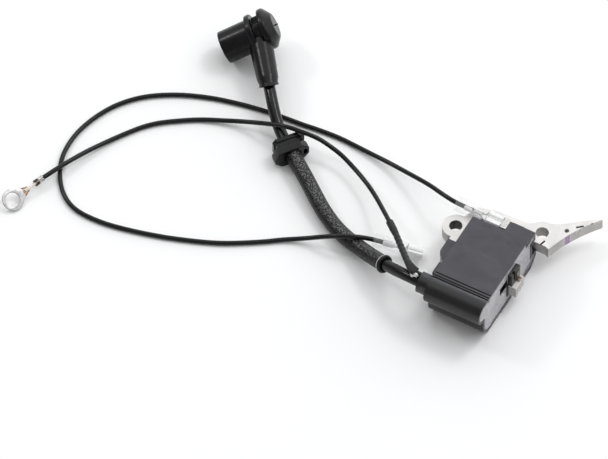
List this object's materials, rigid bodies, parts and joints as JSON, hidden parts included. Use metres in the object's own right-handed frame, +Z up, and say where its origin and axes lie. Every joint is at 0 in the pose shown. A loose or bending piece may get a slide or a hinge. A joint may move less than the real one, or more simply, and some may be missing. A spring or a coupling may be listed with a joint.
{
  "type": "flywheel ignition coil",
  "caption": "Potted ignition coil module on a laminated pole-shoe core, with high tension lead and plug boot, earth wire with ring terminal, and stop switch wire.",
  "frame": {"origin": "middle of the coil module's footprint (leads and what is on them left out), on the surface it lies on", "axes": "+X out of the potted end of the housing, +Y towards the long pole shoe, +Z up along the two mounting holes"},
  "size_m": [0.228, 0.1341, 0.0237],
  "materials": {
    "lamination_steel": "bright cut laminations",
    "housing_plastic": "satin moulded black nylon",
    "potting_epoxy": "cast grey epoxy",
    "bobbin_black": "satin",
    "copper_wire": "enamelled copper",
    "bobbin_brown": "satin",
    "fine_copper_wire": "fine enamelled copper",
    "tinned_metal": "tinned",
    "board_laminate": "glass epoxy laminate",
    "component_black": "moulded",
    "capacitor_film": "dipped film",
    "resistor_body": "lacquered",
    "pin_brass": "turned brass",
    "contact_copper": "oxidised copper",
    "lead_jacket": "glossy black jacket",
    "braided_sleeve": "woven glass-fibre sleeve",
    "moulded_rubber": "satin moulded rubber",
    "spring_steel": "spring steel",
    "wire_jacket": "PVC insulation",
    "shrink_sleeve": "heat-shrink",
    "tinned_strands": "tinned strands",
    "clear_sleeve": "clear vinyl"
  },
  "bodies": {
    "module": {"core_stack": "lamination_steel", "housing_shell": "housing_plastic", "potting_compound": "potting_epoxy", "primary_bobbin": "bobbin_black", "primary_winding": "copper_wire", "secondary_bobbin": "bobbin_brown", "secondary_winding": "fine_copper_wire", "bobbin_pins": "tinned_metal", "circuit_board": "board_laminate", "power_transistor": "component_black", "control_chip": "component_black", "timing_capacitor": "capacitor_film", "board_resistors": "resistor_body", "high_voltage_pin": "pin_brass", "core_contact": "contact_copper", "stop_blade": "tinned_metal", "high_tension_lead": "lead_jacket", "lead_sleeve": "braided_sleeve", "sleeve_collar": "lead_jacket", "earth_wire": "wire_jacket", "earth_wire_sleeve": "shrink_sleeve", "earth_strands": "tinned_strands", "ring_terminal": "tinned_metal", "stop_wire": "wire_jacket", "blade_connector": "tinned_metal", "blade_connector_sleeve": "clear_sleeve", "free_connector": "tinned_metal", "free_connector_sleeve": "clear_sleeve"},
    "grommet": {"lead_grommet": "moulded_rubber"},
    "boot": {"plug_boot": "moulded_rubber", "boot_clip": "spring_steel"}
  },
  "joints": [
    {"name": "boot_turn", "type": "hinge", "parent": "module", "child": "boot", "pos_m": [-0.127, 0.0328, 0.0099], "axis": [-0.6193, 0.777, 0.1126], "range_deg": [0, 180]},
    {"name": "grommet_slide", "type": "slide", "parent": "module", "child": "grommet", "axis": [0.8, -0.6, 0], "range_m": [0, 0.01]}
  ]
}
